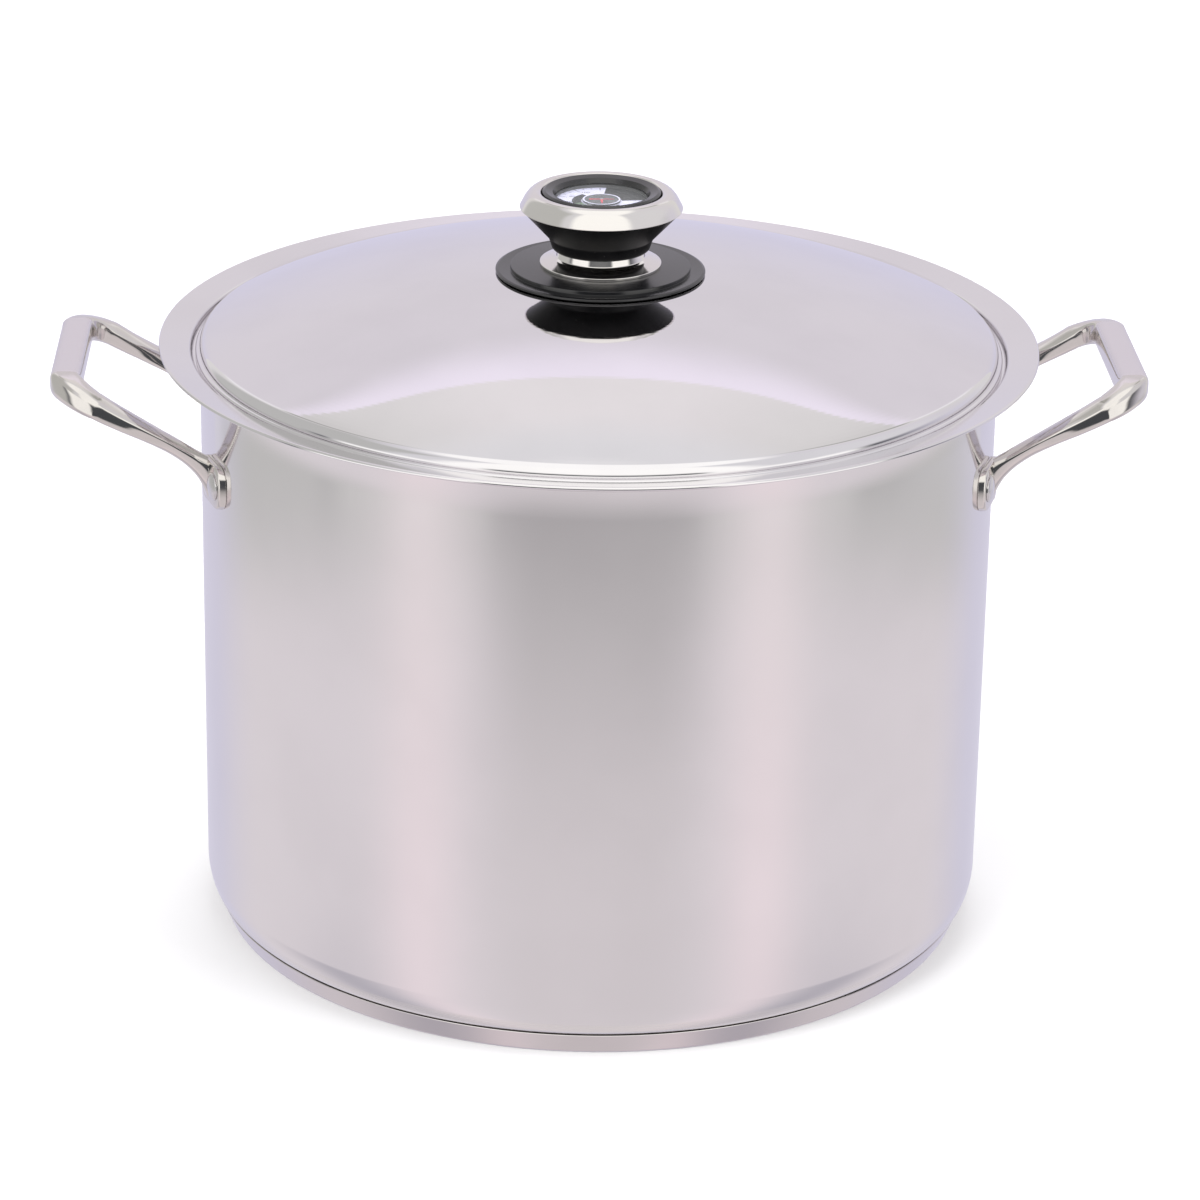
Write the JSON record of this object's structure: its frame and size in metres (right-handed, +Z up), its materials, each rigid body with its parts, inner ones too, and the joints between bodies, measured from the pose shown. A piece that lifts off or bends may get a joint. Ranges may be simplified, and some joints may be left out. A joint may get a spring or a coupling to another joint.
{
  "type": "stockpot",
  "caption": "Large lidded stockpot: straight wall, encapsulated base, flared rim, riveted loop handles, domed lid with a thermometer knob.",
  "frame": {"origin": "centre of the base's underside, on the pot's axis", "axes": "+Z up along the pot's axis; +X and -X point to the two handles"},
  "size_m": [0.435, 0.3524, 0.3043],
  "materials": {
    "polished_steel": "polished stainless steel",
    "lid_steel": "mirror polished stainless steel",
    "base_steel": "fine satin stainless steel",
    "base_aluminium": "raw",
    "handle_steel": "polished arms with a satin grip bar",
    "rivet_steel": "satin",
    "knob_steel": "semi-bright satin",
    "black_phenolic": "matte moulded",
    "silicone": "matte",
    "brass": "machined",
    "bimetal": "rolled strip",
    "cup_aluminium": "spun",
    "lens_glass": "clear",
    "dial_enamel": "printed, semi-gloss",
    "pointer_paint": "semi-gloss"
  },
  "bodies": {
    "pot": {"pot_shell": "polished_steel", "base_core": "base_aluminium", "base_cap": "base_steel", "handle_left": "handle_steel", "handle_right": "handle_steel", "rivets_left": "rivet_steel", "rivets_right": "rivet_steel"},
    "lid": {"lid_shell": "lid_steel", "seal_washer": "silicone", "steel_washer": "rivet_steel", "knob_bolt": "rivet_steel"},
    "knob": {"heat_shield": "black_phenolic", "collar": "knob_steel", "grip": "black_phenolic", "threaded_insert": "brass", "bezel": "knob_steel", "lens_ring": "black_phenolic", "lens": "lens_glass", "lens_gasket": "silicone", "dial_plate": "dial_enamel", "gauge_cup": "cup_aluminium", "arbor_bush": "brass", "bimetal_coil": "bimetal", "coil_post": "brass"},
    "pointer": {"pointer": "pointer_paint", "arbor": "rivet_steel"}
  },
  "joints": [
    {"name": "lid_lift", "type": "slide", "parent": "pot", "child": "lid", "axis": [0, 0, 1], "range_m": [0, 0.15]},
    {"name": "knob_turn", "type": "hinge", "parent": "lid", "child": "knob", "pos_m": [0, 0, 0.27], "axis": [0, 0, 1], "range_deg": [0, 360]},
    {"name": "pointer_turn", "type": "hinge", "parent": "knob", "child": "pointer", "pos_m": [0, 0, 0.29], "axis": [0, 0, -1], "range_deg": [0, 240], "stiffness_Nm_per_rad": 0.00002}
  ]
}
